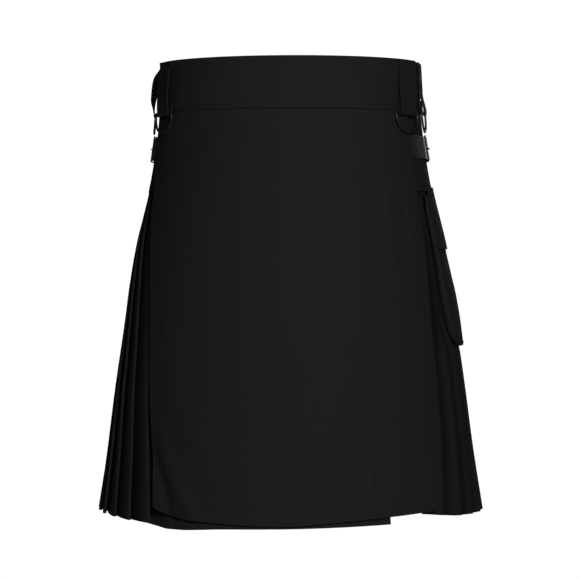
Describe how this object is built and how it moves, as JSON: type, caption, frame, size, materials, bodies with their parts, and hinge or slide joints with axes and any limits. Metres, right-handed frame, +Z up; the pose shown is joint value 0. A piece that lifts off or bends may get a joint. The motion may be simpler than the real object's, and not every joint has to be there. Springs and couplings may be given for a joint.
{
  "type": "utility kilt",
  "caption": "Wrap-over kilt with flat aprons, a plain yoke, pressed knife pleats, ringed belt loops, buckled hip straps and a flapped side pocket, in its worn hollow form.",
  "frame": {"origin": "centre of the waistband, half way up it, inside the waist opening", "axes": "+Z up the wearer's body, -Y the wearer's front, +X the wearer's left"},
  "size_m": [0.5233, 0.4258, 0.6136],
  "materials": {
    "cloth": "dull black twill",
    "leather": "smooth black, half glossy",
    "black_metal": "black, satin"
  },
  "bodies": {
    "garment": {"waistband_front": "cloth", "waistband_back": "cloth", "waistband_under": "cloth", "over_apron": "cloth", "under_apron": "cloth", "yoke_back": "cloth", "yoke_left": "cloth", "yoke_right": "cloth", "pleats_1": "cloth", "pleats_2": "cloth", "pleats_3": "cloth", "pleats_4": "cloth", "pleats_5": "cloth", "pleats_6": "cloth", "belt_loop_right_front": "cloth", "belt_loop_right_rear": "cloth", "belt_loop_left_front": "cloth", "belt_loop_left_rear": "cloth", "belt_loop_back_left": "cloth", "belt_loop_back_right": "cloth", "pocket_bag": "cloth", "pocket_flap": "cloth", "hip_strap_left": "leather", "chape_left": "leather", "keeper_left": "leather", "hip_strap_right": "leather", "chape_right": "leather", "keeper_right": "leather", "buckle_left": "black_metal", "prong_left": "black_metal", "buckle_right": "black_metal", "prong_right": "black_metal"},
    "ring_right_front": {"d_ring_right_front": "black_metal"},
    "ring_right_rear": {"d_ring_right_rear": "black_metal"},
    "ring_left_front": {"d_ring_left_front": "black_metal"},
    "ring_left_rear": {"d_ring_left_rear": "black_metal"}
  },
  "joints": [
    {"name": "ring_swing_right_front", "type": "hinge", "parent": "garment", "child": "ring_right_front", "pos_m": [-0.16412, -0.06557, -0.0375], "axis": [-0.5869, 0.8097, 0], "range_deg": [0, 95]},
    {"name": "ring_swing_right_rear", "type": "hinge", "parent": "garment", "child": "ring_right_rear", "pos_m": [-0.18157, -0.01477, -0.0345], "axis": [-0.1535, 0.9882, 0], "range_deg": [0, 95]},
    {"name": "ring_swing_left_front", "type": "hinge", "parent": "garment", "child": "ring_left_front", "pos_m": [0.15987, -0.07103, -0.0375], "axis": [-0.6185, -0.7858, 0], "range_deg": [0, 95]},
    {"name": "ring_swing_left_rear", "type": "hinge", "parent": "garment", "child": "ring_left_rear", "pos_m": [0.18093, -0.01027, -0.0335], "axis": [-0.0949, -0.9955, 0], "range_deg": [0, 95]}
  ]
}
